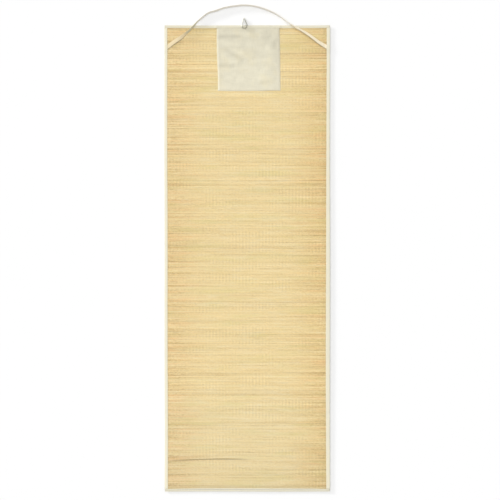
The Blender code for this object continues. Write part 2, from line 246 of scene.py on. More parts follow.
class PatchSettings(PropertyGroup):
    """Sizes and colour of the patch."""

    cloth: FloatProperty(name="Cloth", description="Thickness of the patch", default=0.0010, unit="LENGTH")
    cells: IntProperty(name="Cells", description="Facets along each side", default=88)
    hem: FloatProperty(name="Hem", description="Width of the hem", default=0.0090, unit="LENGTH")
    hem_height: FloatProperty(name="Hem height", description="How far the hem stands up", default=0.0005, unit="LENGTH")
    wrinkle: FloatProperty(name="Wrinkle", description="Height of the small wrinkles", default=0.0009, unit="LENGTH")
    # Painted light on the creases' ridges and painted shade in their hollows.
    crease_shading: FloatProperty(
        name="Crease tone", description="How much lighter the creases' ridges are", default=0.055, subtype="FACTOR"
    )
    # Painted shade at the patch's top and painted light at its bottom.
    top_shade: FloatProperty(
        name="Top shade", description="How much darker the cloth is at its top", default=0.10, subtype="FACTOR"
    )
    # Painted highlight along the patch's folded edges.
    rim_highlight: FloatProperty(
        name="Rim tone", description="How much lighter the cloth is at its folded edges", default=0.08, subtype="FACTOR"
    )
    colour: FloatVectorProperty(name="Colour", description="Patch", subtype="COLOR", default=(0.665, 0.625, 0.487))


class StrapSettings(PropertyGroup):
    """Sizes and colour of the carry strap and the closing loop."""

    width: FloatProperty(name="Strap width", description="Width of the strap", default=0.0145, unit="LENGTH")
    thickness: FloatProperty(
        name="Strap thickness", description="Thickness of the strap", default=0.0012, unit="LENGTH"
    )
    loop_width: FloatProperty(name="Loop width", description="Width of the loop", default=0.0090, unit="LENGTH")
    loop_thickness: FloatProperty(
        name="Loop thickness", description="Thickness of the loop", default=0.0010, unit="LENGTH"
    )
    steps: IntProperty(name="Steps", description="Facets between two stations of a route", default=12)
    columns: IntProperty(name="Columns", description="Facets across a tape", default=8)
    colour: FloatVectorProperty(name="Colour", description="Strap", subtype="COLOR", default=(0.82, 0.775, 0.68))
    left_colour: FloatVectorProperty(
        name="Left end", description="Soiled left end of the strap", subtype="COLOR", default=(0.757, 0.63, 0.40)
    )
    # Painted shade where the strap turns onto its edge.
    twist_shade_colour: FloatVectorProperty(
        name="Twist", description="Where the strap turns onto its edge", subtype="COLOR", default=(0.60, 0.56, 0.40)
    )
    # Painted shadow along the strap's lower edge.
    edge_shade: FloatProperty(
        name="Edge shade", description="How much darker the strap's lower edge is", default=0.58, subtype="FACTOR"
    )
    loop_colour: FloatVectorProperty(name="Loop", description="Loop", subtype="COLOR", default=(0.96, 0.955, 0.88))
    # Painted shade on the loop's right leg and its foot, which stand away from the light.
    loop_shade: FloatVectorProperty(
        name="Loop's right leg", description="Soiled right leg of the loop", subtype="COLOR", default=(0.36, 0.36, 0.29)
    )
    # The right end's colour is partly its own yellower cotton and partly painted light for the light it faces.
    right_lit_colour: FloatVectorProperty(
        name="Right end", description="Right end of the strap", subtype="COLOR", default=(0.86, 0.76, 0.56)
    )


class StitchSettings(PropertyGroup):
    """Sizes and colour of the sewing thread's stitches."""

    length: FloatProperty(name="Length", description="Length of a stitch", default=0.0026, unit="LENGTH")
    pitch: FloatProperty(name="Pitch", description="From stitch to stitch", default=0.0033, unit="LENGTH")
    thickness: FloatProperty(name="Thickness", description="Thread's thickness", default=0.00045, unit="LENGTH")
    colour: FloatVectorProperty(name="Colour", description="Sewing thread", subtype="COLOR", default=(0.76, 0.72, 0.58))


class StageSettings(PropertyGroup):
    """The floor, the camera and the lights."""

    lens: FloatProperty(name="Lens", description="Camera's focal length in mm", default=100)
    middle_across: FloatProperty(
        name="Middle across", description="Where the camera looks, across", default=0.0110, unit="LENGTH"
    )
    middle_along: FloatProperty(
        name="Middle along", description="Where the camera looks, along", default=0.0289, unit="LENGTH"
    )
    view_width: FloatProperty(
        name="View width", description="How much of the floor the picture shows", default=1.8275, unit="LENGTH"
    )
    floor: FloatVectorProperty(name="Floor", description="Floor", subtype="COLOR", default=(0.825, 0.825, 0.825))
    overhead: FloatProperty(name="Overhead light", description="Strength of the light above", default=1.75)
    side: FloatProperty(name="Side light", description="Strength of the light from the left", default=1.36)
    sky: FloatProperty(name="Sky", description="Strength of the light from all round", default=0.546)


class Value:
    """A shader socket as a value in an expression. Arithmetic on it adds Math nodes."""

    def __init__(self, finish, socket):
        self.finish = finish
        self.socket = socket

    def __getitem__(self, name):
        """Another output of the same node."""
        return Value(self.finish, self.socket.node.outputs[name])

    def math(self, operation, *values):
        return self.finish.node("ShaderNodeMath", {"operation": operation}, dict(enumerate(values)))

    def __add__(self, other):
        return self.math("ADD", self, other)

    def __radd__(self, other):
        return self.math("ADD", other, self)

    def __sub__(self, other):
        return self.math("SUBTRACT", self, other)

    def __rsub__(self, other):
        return self.math("SUBTRACT", other, self)

    def __mul__(self, other):
        return self.math("MULTIPLY", self, other)

    def __rmul__(self, other):
        return self.math("MULTIPLY", other, self)

    def __abs__(self):
        return self.math("ABSOLUTE", self)

    def __floor__(self):
        return self.math("FLOOR", self)

    def sine(self):
        return self.math("SINE", self)


class Finish:
    """A material's shader nodes, each made by node()."""

    def __init__(self, name, roughness, sheen=0.0):
        self.material = bpy.data.materials.new(name)
        self.material.use_nodes = True
        self.tree = self.material.node_tree
        self.shader = self.tree.nodes["Principled BSDF"]
        self.shader.inputs["Roughness"].default_value = roughness
        self.shader.inputs["Specular IOR Level"].default_value = 0.3
        self.shader.inputs["Sheen Weight"].default_value = sheen
        self.shader.inputs["Sheen Roughness"].default_value = 0.6

    def node(self, kind, settings, sockets, output=0):
        """A node with its settings, then its sockets' values or links, as the Value of one output."""
        node = self.tree.nodes.new(kind)
        for name, setting in settings.items():
            if name == "stops":
                self.set_stops(node.color_ramp, setting)
            else:
                setattr(node, name, setting)
        for key, value in sockets.items():
            if isinstance(value, Value):
                self.tree.links.new(value.socket, node.inputs[key])
            else:
                node.inputs[key].default_value = value
        return Value(self, node.outputs[output])

    def set_stops(self, ramp, stops):
        while len(ramp.elements) < len(stops):
            ramp.elements.new(1)
        for element, (place, colour) in zip(ramp.elements, stops):
            element.position = place
            element.color = (*colour, 1)

    def feed(self, name, value):
        """Links a value to one of the shader's own sockets."""
        self.tree.links.new(value.socket, self.shader.inputs[name])

    def noise(self, across, along, height, detail=2, roughness=0.5):
        """Noise from 0 to 1 at a point given by three values in the noise's own cells."""
        point = self.node("ShaderNodeCombineXYZ", {}, {"X": across, "Y": along, "Z": height})
        return self.node(
            "ShaderNodeTexNoise", {}, {"Vector": point, "Scale": 1, "Detail": detail, "Roughness": roughness}
        )

    def step(self, value, low, high):
        """0 at low, 1 at high, and smooth between."""
        return self.node(
            "ShaderNodeMapRange",
            {"interpolation_type": "SMOOTHSTEP"},
            {"Value": value, "From Min": low, "From Max": high},
        )

    def mix(self, share, first, second, blend="MIX"):
        """Two colours mixed. A plain colour is three numbers."""
        colours = [colour if isinstance(colour, Value) else (*colour, 1) for colour in (first, second)]
        return self.node(
            "ShaderNodeMix",
            {"data_type": "RGBA", "blend_type": blend},
            {0: share, 6: colours[0], 7: colours[1]},
            output=2,
        )

    def bump(self, height, depth, strength=1.0):
        """Feeds the shader's normal from a height of 0 to 1 that stands for a depth in metres."""
        normal = self.node(
            "ShaderNodeBump", {}, {"Height": height, "Distance": depth, "Strength": strength}
        )
        self.feed("Normal", normal)


def run_values(finish):
    """Metres along the piece, and the number of the straw or thread with the share of the way round it."""
    run = finish.node("ShaderNodeUVMap", {"uv_map": RUN_MAP}, {})
    parts = finish.node("ShaderNodeSeparateXYZ", {}, {"Vector": run})
    return parts["X"], parts["Y"]


def attribute_value(finish, name):
    """The piece's own attribute of a name."""
    return finish.node("ShaderNodeAttribute", {"attribute_name": name}, {}, output="Fac")


def place_values(finish):
    """Across and along on the mat."""
    place = finish.node("ShaderNodeTexCoord", {}, {}, output="Object")
    parts = finish.node("ShaderNodeSeparateXYZ", {}, {"Vector": place})
    return parts["X"], parts["Y"]


def straw_finish(settings, spacing):
    """Dry straw: each stalk its own tone, changing along it, darker, warmer and more uneven near the sides, with
    painted shade on sunken straws, at the warp threads and below the top tape.
    """
    finish = Finish("dry_straw", roughness=0.55)
    round_number = run_values(finish)[1]
    across, along = place_values(finish)
    number = math.floor(round_number)
    round_share = round_number - number
    side = finish.step(abs(across), 0.12, 0.30)
    right = finish.step(across, 0.12, 0.30)
    uneven = finish.step(abs(across), 0.17, 0.31)
    low_end = finish.step(along, -0.40, -0.62)
    lowest = finish.step(along, -0.68, -0.76)
    own = finish.noise(number * 7.31, 0.5, 0.5, detail=0)
    slow = finish.noise(across * 4.5, number * 3.71, 1.5, detail=2)
    quick = finish.noise(across * 150, number * 5.13, 2.5, detail=3)
    fibres = finish.noise(across * 25, round_share * 22, number * 1.37, detail=2)
    broad = finish.noise(across * 3, along * 28, 4.5, detail=2)
    change = (own - 0.5) * 0.62 + (slow - 0.5) * 1.05 + (quick - 0.5) * 0.80
    change = change + (fibres - 0.5) * 0.25 + (broad - 0.5) * 0.20
    colour = finish.node(
        "ShaderNodeValToRGB",
        {"stops": ((0.0, settings.dark), (0.5, settings.middle), (1.0, settings.pale))},
        {"Fac": 0.5 + change * (0.80 + uneven * 1.05)},
    )
    warm = finish.noise(across * 8, number * 0.43, 7.5, detail=3)
    warm = finish.step(warm, 0.46, 0.72) * (0.12 + side * 0.88)
    colour = finish.mix(warm * 0.60, colour, settings.warm)
    green = finish.step(finish.noise(across * 6, number * 0.11, 9.5, detail=3), 0.46, 0.76)
    colour = finish.mix(green * 0.38, colour, settings.green)
    bleached = finish.step(finish.noise(across * 14, number * 0.37, 13.5, detail=3), 0.46, 0.76)
    colour = finish.mix(bleached * (0.40 - side * 0.25), colour, settings.bleached)
    worn = finish.noise(across * 30, number * 9.1, 11.5, detail=2)
    worn = finish.step(worn, 0.56, 0.78) * finish.step(abs(across), 0.20, 0.27)
    colour = finish.mix(worn * 0.65, colour, settings.dark)
    # Sunken straws get painted shadow: their colour goes towards the shadow colour, and darker.
    sunken = attribute_value(finish, SUNKEN)
    colour = finish.mix(sunken * 0.75, colour, settings.shadow)
    # Painted shade and light in bands at the warp threads' spacing, where the threads press the straws
    thread_press_shading = finish.step(finish.noise(across * 9, along * 30, 15.5, detail=3), 0.48, 0.66)
    thread_press_shading = (across * (2 * math.pi / spacing)).sine() * thread_press_shading
    shade = 1 + thread_press_shading * 0.045 - sunken * 0.12 - finish.step(along, 0.70, 0.80) * 0.03
    shade = shade - finish.step(across, 0.270, 0.288) * 0.055
    # On this line, the band just below the top tape (from 0.8325) is painted shadow beside the tape's edge.
    shade = shade - finish.step(along, -0.825, -0.834) * 0.10 - finish.step(along, 0.8325, 0.8365) * 0.09
    tint = {
        0: shade - side * 0.028 - right * 0.042 - low_end * 0.028 - lowest * 0.024,
        1: shade - side * 0.058 - right * 0.052 - low_end * 0.010 - lowest * 0.024,
        2: shade - side * 0.100 - right * 0.085 + low_end * (0.030 - right * 0.030) - lowest * 0.015,
    }
    finish.feed("Base Color", finish.mix(1.0, colour, finish.node("ShaderNodeCombineColor", {}, tint), "MULTIPLY"))
    finish.feed("Roughness", 0.46 + quick * 0.22)
    finish.bump(fibres, 0.00012, 0.6)
    return finish.material


def thread_finish(settings):
    """Cotton warp thread with its plies wound round it."""
    finish = Finish("warp_thread", roughness=0.9, sheen=0.1)
    length, round_number = run_values(finish)
    plies = (length * 4200 + round_number * 12.566).sine() * 0.5 + 0.5
    fuzz = finish.noise(length * 900, round_number * 3, 0.5)
    soil = finish.noise(length * 12, round_number * 0.31, 3.5)
    colour = finish.mix(soil * 0.35, settings.colour, tuple(channel * 0.78 for channel in settings.colour))
    finish.feed("Base Color", finish.mix(plies * 0.12, colour, tuple(channel * 0.7 for channel in settings.colour)))
    finish.bump(plies * 0.7 + fuzz * 0.3, 0.0001, 0.5)
    return finish.material


def cloth_finish(name, colour, pitch, tone=0.06, roughness=0.88, ends=()):
    """Plain woven cotton: yarns over and under at a pitch, thick and thin places in them, and faint soiling. Each
    of the ends is a colour and the two places along the cloth between which it comes in."""
    finish = Finish(name, roughness, sheen=0.15)
    warp, weft = run_values(finish)
    turns = 2 * math.pi / pitch
    weave = (warp * turns).sine() * (weft * turns).sine() * 0.5 + 0.5
    warp_slubs = finish.noise(warp * (0.7 / pitch), weft * 45, 0.5, detail=2)
    weft_slubs = finish.noise(warp * 45, weft * (0.7 / pitch), 5.5, detail=2)
    soil = finish.noise(warp * 22, weft * 22, 9.5, detail=3)
    shade = 1 + (warp_slubs - 0.5) * tone * 2 + (weft_slubs - 0.5) * tone * 2 + (soil - 0.5) * tone * 1.5
    # The piece's attribute adds its painted light and shade.
    shade = shade - (1 - weave) * 0.04 + attribute_value(finish, SHADING_ATTRIBUTE)
    grey = finish.node("ShaderNodeCombineColor", {}, {0: shade, 1: shade, 2: shade})
    warm = tuple(channel * factor for channel, factor in zip(colour, (1.0, 0.965, 0.88)))
    base = finish.mix(finish.step(soil, 0.45, 0.75) * 0.6, colour, warm)
    for end_colour, low, high in ends:
        base = finish.mix(finish.step(weft, low, high), base, end_colour)
    finish.feed("Base Color", finish.mix(1.0, base, grey, "MULTIPLY"))
    finish.feed("Roughness", roughness - 0.08 + soil * 0.12)
    finish.bump(weave * 0.5 + (warp_slubs + weft_slubs) * 0.4, pitch * 0.3, 0.6)
    return finish.material


def floor_finish(colour):
    finish = Finish("pale_floor", roughness=0.9)
    across, along = place_values(finish)
    grain = finish.noise(across * 3, along * 3, 0.5, detail=3)
    finish.feed("Base Color", finish.mix(grain * 0.04, colour, tuple(channel * 0.9 for channel in colour)))
    return finish.material


def ease(share):
    """0 to 1 with a soft start and end."""
    share = np.clip(share, 0, 1)
    return share * share * (3 - 2 * share)


def ripple(across, along, scale, layer):
    """Smooth noise about 0 at places given by arrays, with cells of a size in metres."""
    points = np.stack(np.broadcast_arrays(across / scale, along / scale, layer), axis=-1)
    flat = [noise.noise(point) for point in points.reshape(-1, 3)]
    return np.array(flat).reshape(points.shape[:-1])


class Sections:
    """The rows of corners that a solid has across one axis, and how far each row reaches."""

    def __init__(self, node, axis):
        corners = np.array([vertex.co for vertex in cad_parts[node].data.vertices])
        corners = corners[corners[:, axis].argsort()]
        breaks = np.flatnonzero(np.diff(corners[:, axis]) > ROW_GAP) + 1
        rows = np.split(corners, breaks)
        self.places = np.array([row[:, axis].mean() for row in rows])
        self.lows = np.array([row.min(axis=0) for row in rows])
        self.highs = np.array([row.max(axis=0) for row in rows])

    def low(self, places, axis):
        return np.interp(places, self.places, self.lows[:, axis])

    def high(self, places, axis):
        return np.interp(places, self.places, self.highs[:, axis])


def tree_of(mesh):
    return BVHTree.FromPolygons(
        [vertex.co for vertex in mesh.vertices], [polygon.vertices for polygon in mesh.polygons]
    )


def heights(tree, across, along, from_above=True):
    """Height of a mesh's upper or lower side at each place."""
    found = np.empty(across.shape)
    side = 1 if from_above else -1
    for place in np.ndindex(across.shape):
        start = Vector((across[place], along[place], side * RAY_START))
        spot = tree.ray_cast(start, Vector((0, 0, -side)))[0]
        if spot is None:
            spot = tree.find_nearest(start * Vector((1, 1, 0)))[0]
        found[place] = spot.z
    return found


def finished(piece, slot, *nodes):
    """Puts a piece on the mat, in place of the solids that it stands for."""
    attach(piece, "root")
    if nodes:
        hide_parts(*nodes)
    return piece


def piece_of(name, mesh, material):
    """A smooth-shaded object of a mesh, in one material."""
    mesh.name = name
    mesh.materials.clear()
    mesh.materials.append(material)
    mesh.shade_smooth()
    piece = bpy.data.objects.new(name, mesh)
    bpy.context.scene.collection.objects.link(piece)
    return piece


def turned_out(shape):
    """Points a closed shape's faces outwards."""
    bmesh.ops.recalc_face_normals(shape, faces=shape.faces[:])
    if shape.calc_volume(signed=True) < 0:
        bmesh.ops.reverse_faces(shape, faces=shape.faces[:])


def mesh_of(shape):
    mesh = bpy.data.meshes.new("shape")
    shape.to_mesh(mesh)
    shape.free()
    return mesh


def tube(spans, sides):
    """A tube of radius 1 from 0 to 1 along X, closed by a point at each end, with UVs along and round it."""
    shape = bmesh.new()
    shape.loops.layers.uv.new(RUN_MAP)
    columns = spans + 2
    bmesh.ops.create_grid(shape, x_segments=columns, y_segments=sides, size=0.5, calc_uvs=True)
    for vertex in shape.verts:
        column = round((vertex.co.x + 0.5) * columns)
        angle = (vertex.co.y + 0.5) * 2 * math.pi
        radius = 0 if column in (0, columns) else 1
        vertex.co = (
            min(max(column - 1, 0), spans) / spans,
            radius * math.cos(angle),
            radius * math.sin(angle),
        )
    bmesh.ops.remove_doubles(shape, verts=shape.verts[:], dist=1e-6)
    turned_out(shape)
    return mesh_of(shape)


def grains():
    """A long rounded grain of length 1 along X and thickness 1, for a stitch."""
    shape = bmesh.new()
    shape.loops.layers.uv.new(RUN_MAP)
    bmesh.ops.create_uvsphere(shape, u_segments=6, v_segments=5, radius=0.5, calc_uvs=True)
    bmesh.ops.rotate(shape, verts=shape.verts[:], matrix=Matrix.Rotation(math.pi / 2, 3, "Y"))
    turned_out(shape)
    return mesh_of(shape)


def copies(source, count, columns, place, metres):
    """A mesh of many copies of the source from an Array modifier. place moves their corners, given each one's
    copy number and its place in the source. Each copy has its own cell of the bake's layout."""
    holder = bpy.data.objects.new("copies", source)
    bpy.context.scene.collection.objects.link(holder)
    array = holder.modifiers.new("copies", "ARRAY")
    array.count = count
    array.use_relative_offset = False
    shape = holder.evaluated_get(bpy.context.evaluated_depsgraph_get())
    mesh = bpy.data.meshes.new_from_object(shape)
    bpy.data.objects.remove(holder)

    corners = np.empty(len(mesh.vertices) * 3)
    mesh.vertices.foreach_get("co", corners)
    corners = place(corners.reshape(count, -1, 3))
    mesh.vertices.foreach_set("co", np.ascontiguousarray(corners, dtype=np.float32).ravel())

    run = mesh.uv_layers[RUN_MAP]
    spots = np.empty(len(mesh.loops) * 2)
    run.data.foreach_get("uv", spots)
    spots = spots.reshape(count, -1, 2)
    numbers = np.arange(count)[:, None]
    rows = math.ceil(count / columns)
    margin = 0.04
    cell = np.empty_like(spots)
    cell[..., 0] = (numbers % columns + margin / 8 + spots[..., 0] * (1 - margin / 4)) / columns
    cell[..., 1] = (numbers // columns + margin + spots[..., 1] * (1 - 2 * margin)) / rows
    bake = mesh.uv_layers.new(name=BAKE_MAP)
    bake.data.foreach_set("uv", cell.astype(np.float32).ravel())
    run = mesh.uv_layers[RUN_MAP]
    spots[..., 0] *= metres
    spots[..., 1] = numbers + np.clip(spots[..., 1], 0.001, 0.999)
    run.data.foreach_set("uv", spots.astype(np.float32).ravel())
    mesh.update()
    return mesh


def sheet(name, over, under, material, painted_shading=None):
    """A closed sheet between two faces, each an array of rows by columns of places, with UVs in metres. The
    painted light and shade, one value a place, are kept as an attribute."""
    rows, columns = over.shape[:2]
    shape = bmesh.new()
    tone = shape.verts.layers.float.new(SHADING_ATTRIBUTE)
    bmesh.ops.create_grid(shape, x_segments=columns - 1, y_segments=rows - 1, size=0.5)
    underside = set(shape.verts)
    bmesh.ops.extrude_face_region(shape, geom=shape.faces[:], use_keep_orig=True)
    run = shape.loops.layers.uv.new(RUN_MAP)
    warp = lengths_along(over[rows // 2])
    weft = lengths_along(over[:, columns // 2])
    spots = {}
    for vertex in shape.verts:
        column = round((vertex.co.x + 0.5) * (columns - 1))
        row = round((vertex.co.y + 0.5) * (rows - 1))
        spots[vertex] = (warp[column], weft[row])
        vertex[tone] = 0 if painted_shading is None else painted_shading[row, column]
        vertex.co = (under if vertex in underside else over)[row, column]
    for face in shape.faces:
        for loop in face.loops:
            loop[run].uv = spots[loop.vert]
    turned_out(shape)
    piece = piece_of(name, mesh_of(shape), material)
    return piece, (float(warp[-1]), float(weft[-1]))


def lengths_along(line):
    """How far each point of a line is along it."""
    return np.concatenate(([0], np.linalg.norm(np.diff(line, axis=0), axis=1).cumsum()))


class Straws:
    """The lines between straws and the slab that they fill, both read from the panel's solid."""

    def __init__(self, settings):
        chance = np.random.default_rng(SEED)
        self.settings = settings
        self.by_row = Sections("straw_panel", ALONG)
        self.by_column = Sections("straw_panel", ACROSS)
        self.tree = tree_of(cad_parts["straw_panel"].data)
        low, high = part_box("straw_panel")
        self.low, self.high = low, high
        self.count = round((high.y - low.y) / settings.width)
        widths = np.clip(chance.normal(1, 0.13, self.count), 0.7, 1.35)
        self.shares = np.concatenate(([0], widths.cumsum())) / widths.sum()
        self.pitch = (high.y - low.y) / self.count
        self.wander = chance.normal(0, 0.045, (self.count + 1, WANDER_POINTS)) * self.pitch
        self.wander[[0, -1]] = 0
        self.gaps = settings.gap * chance.uniform(0.4, 1.7, self.count + 1)
        self.lean = chance.uniform(-0.35, 0.35, self.count)
        self.rise = chance.normal(0, 0.05, self.count)

    def lines(self, share):
        """Where each line between straws crosses a share of the mat's width: across, along and half its gap."""
        base = self.low.y + (self.high.y - self.low.y) * self.shares
        across = self.by_row.low(base, ACROSS)
        across = across + (self.by_row.high(base, ACROSS) - across) * share
        bottom = self.by_column.low(across, ALONG)
        top = self.by_column.high(across, ALONG)
        along = bottom + (top - bottom) * self.shares
        steps = np.linspace(0, 1, WANDER_POINTS)
        wander = np.array([np.interp(share, steps, row) for row in self.wander])
        taper = (-1) ** np.arange(self.count + 1) * self.settings.taper * (share - 0.5) * self.pitch / 2
        taper[[0, -1]] = 0
        inside = ease((base - self.low.y) / 0.05) * ease((self.high.y - base) / 0.05)
        sway = ripple(across * 0.35, along, 0.075, 0.5) * self.settings.sway
        bow = self.settings.bow * ease(1 - abs(across + 0.100) / 0.230) * ease(1 - abs(base + 0.745) / 0.085)
        return across, along + wander + taper + (sway + bow) * inside, self.gaps / 2

    def at(self, share):
        """Each straw's middle, half its width and half its height at a share of the mat's width."""
        across, along, half_gap = self.lines(share)
        low = along[:-1] + half_gap[:-1]
        high = along[1:] - half_gap[1:]
        across = (across[:-1] + across[1:]) / 2
        middle = (low + high) / 2
        safe = self.lines(min(max(share, SAFE_SHARE), 1 - SAFE_SHARE))
        spots = (safe[0][:-1] + safe[0][1:]) / 2, (safe[1][:-1] + safe[1][1:]) / 2
        upper = heights(self.tree, *spots)
        lower = heights(self.tree, *spots, from_above=False)
        half = (upper - lower) / 2
        sunken = self.sunken_at(across)
        height = (upper + lower) / 2 + (self.rise - 0.35 * sunken) * half
        return across, middle, height, (high - low) / 2, half * (self.settings.fill - 0.35 * sunken)

    def sunken_at(self, across):
        """How far each straw has sunk between its neighbours at places across the mat."""
        base = self.low.y + (self.high.y - self.low.y) * (self.shares[:-1] + self.shares[1:]) / 2
        return (abs(base - SUNKEN_ALONG) < self.pitch) * ease(1.6 - abs(across + 0.14) / 0.110)


def make_straws(settings, spacing):
    """Every straw of the panel, with painted shade and light where warp threads at a spacing press on it."""
    straws = Straws(settings)
    inner = np.linspace(LEFT_RINGS[-1], RIGHT_RINGS[0], STRAW_SPANS - len(LEFT_RINGS) - len(RIGHT_RINGS) + 3)
    rings = [straws.at(share) for share in (*LEFT_RINGS, *inner[1:-1], *RIGHT_RINGS)]
    across, along, height, half_width, half_height = np.array(rings).transpose(1, 2, 0)

    def place(corners):
        ring = np.rint(corners[..., 0] * STRAW_SPANS).astype(int)
        straw = np.arange(straws.count)[:, None]
        lean = straws.lean[:, None]
        sideways = corners[..., 1]
        upwards = corners[..., 2]
        return np.stack(
            (
                across[straw, ring],
                along[straw, ring] + half_width[straw, ring] * sideways,
                height[straw, ring] + half_height[straw, ring] * (upwards + lean * sideways * 0.3),
            ),
            axis=-1,
        )

    source = tube(STRAW_SPANS, STRAW_SIDES)
    width = straws.high.x - straws.low.x
    mesh = copies(source, straws.count, STRAW_BAKE_COLUMNS, place, width)
    corners = np.empty(len(mesh.vertices) * 3)
    mesh.vertices.foreach_get("co", corners)
    sunken = straws.sunken_at(corners.reshape(straws.count, -1, 3)[..., 0].T).T
    mesh.attributes.new(SUNKEN, "FLOAT", "POINT").data.foreach_set("value", sunken.astype(np.float32).ravel())
    piece = piece_of("woven_straws", mesh, straw_finish(settings, spacing))
    finished(piece, "straw", "straw_panel")
    return piece


def make_threads(settings, straw_settings):
    """Warp threads, each over one straw and under the next, in a left and a right half."""
    straws = Straws(straw_settings)
    width = straws.high.x - straws.low.x
    count = round(width / settings.spacing) - 1
    count -= count % 2
    radius = settings.thickness / 2
    pieces = []
    for name, first in (("warp_threads_left", 0), ("warp_threads_right", count // 2)):
        lines = []
        for thread in range(first, first + count // 2):
            share = (thread + 1) / (count + 1)
            across, middle, height, half_width, half_height = straws.at(share)
            over = np.where((np.arange(straws.count) + thread) % 2, 1, -1)
            up = height + over * (half_height + radius * 0.8)
            before = np.stack((across, middle - 2 * THREAD_HOLD * half_width, up), axis=-1)
            after = np.stack((across, middle + 2 * THREAD_HOLD * half_width, up), axis=-1)
            lines.append(np.stack((before, after), axis=1).reshape(-1, 3))
        lines = np.array(lines)
        spans = lines.shape[1] - 1

        def place(corners, lines=lines, spans=spans):
            ring = np.rint(corners[..., 0] * spans).astype(int)
            thread = np.arange(len(lines))[:, None]
            offset = np.stack(
                (corners[..., 1] * radius, np.zeros(ring.shape), corners[..., 2] * radius), axis=-1
            )
            return lines[thread, ring] + offset

        mesh = copies(tube(spans, THREAD_SIDES), len(lines), 1, place, straws.high.y - straws.low.y)
        piece = piece_of(name, mesh, thread_finish(settings))
        pieces.append(finished(piece, "straw"))
    return pieces


def fold_section():
    """A folded tape's section, from the upper leaf's edge round the fold to the lower one's: reach and angle."""
    upper = [(share, 90) for share in (1, 0.97, 0.90, 0.80, 0.70, 0.61, 0.52, 0.43, 0.32, 0.20, 0.10)]
    fold = [(0, angle) for angle in range(90, -91, -30)]
    lower = [(share, -90) for share in (0.3, 0.65, 1)]
    reach, angle = np.array(upper + fold + lower).T
    return reach, np.radians(angle)


def make_tape(tape, settings):
    """One tape, folded over the edge that its own solid covers."""
    name, axis, outer_low = tape.name, tape.axis, tape.outer_low
    sections = Sections(name, axis)
    side = ACROSS if axis == ALONG else ALONG
    low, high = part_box(name)
    count = round((high[axis] - low[axis]) / settings.step)
    places = np.linspace(low[axis], high[axis], count + 1)
    bounds = sections.low(places, side), sections.high(places, side)
    outer, inner = bounds if outer_low else reversed(bounds)
    floor, roof = sections.low(places, UP), sections.high(places, UP)
    inwards = 1 if outer_low else -1
    radius = (roof - floor).min() / 2
    reach, angle = fold_section()
    layer = 20.5 + axis * 3 + outer_low * 7
    edge_wave = ripple(places, 0, 0.021, layer) * 0.00035 + ripple(places, 0, 0.007, layer) * 0.00012
    depth_to = abs(inner - outer) - radius + edge_wave
    middle, half = (floor + roof) / 2, (roof - floor) / 2
    pucker = ripple(places, 0, 0.0062, layer + 30) * 0.6 + ripple(places, 0, 0.018, layer + 60)
    pucker = settings.pucker * (0.5 + 0.9 * pucker)
    faces = []
    for thickness in (0, settings.cloth):
        run = places[:, None] + np.zeros(len(reach))
        shrink = radius - thickness
        depth = radius - shrink * np.cos(angle) + reach * depth_to[:, None]
        height = middle[:, None] + (half[:, None] - thickness) * np.sin(angle)
        on_top = np.where(angle > 1.5, np.sin(np.pi * np.clip(reach * 1.05, 0, 1)), 0)
        height = height + pucker[:, None] * on_top
        inwards_left = (1 - reach) * depth_to[:, None]
        seam = np.exp(-(((inwards_left - tape.seam) / 0.0006) ** 2))
        droop = ease(1 - inwards_left / 0.0030)
        height = height - np.where(angle > 1.5, seam * 0.00018 + droop * 0.00030, 0)
        across = outer[:, None] + inwards * depth
        parts = (across, run, height) if axis == ALONG else (run, across, height)
        faces.append(np.stack(parts, axis=-1))
    # Each tape's colour is painted lighter or darker for the light it gets.
    colour = tuple(channel * tape.tone for channel in settings.colour)
    from_edge = np.broadcast_to((1 - reach) * depth_to.mean(), (len(places), len(reach)))
    # Painted shade in the crease along the seam.
    painted_shading = -tape.crease * np.exp(-(((from_edge - tape.seam) / 0.0013) ** 2)) * (angle > 1.5)
    finish = cloth_finish(name + "_cotton", colour, 0.0006)
    piece, flat = sheet(name + "_tape", faces[0], faces[1], finish, painted_shading)
    finished(piece, "binding", name)
    return piece


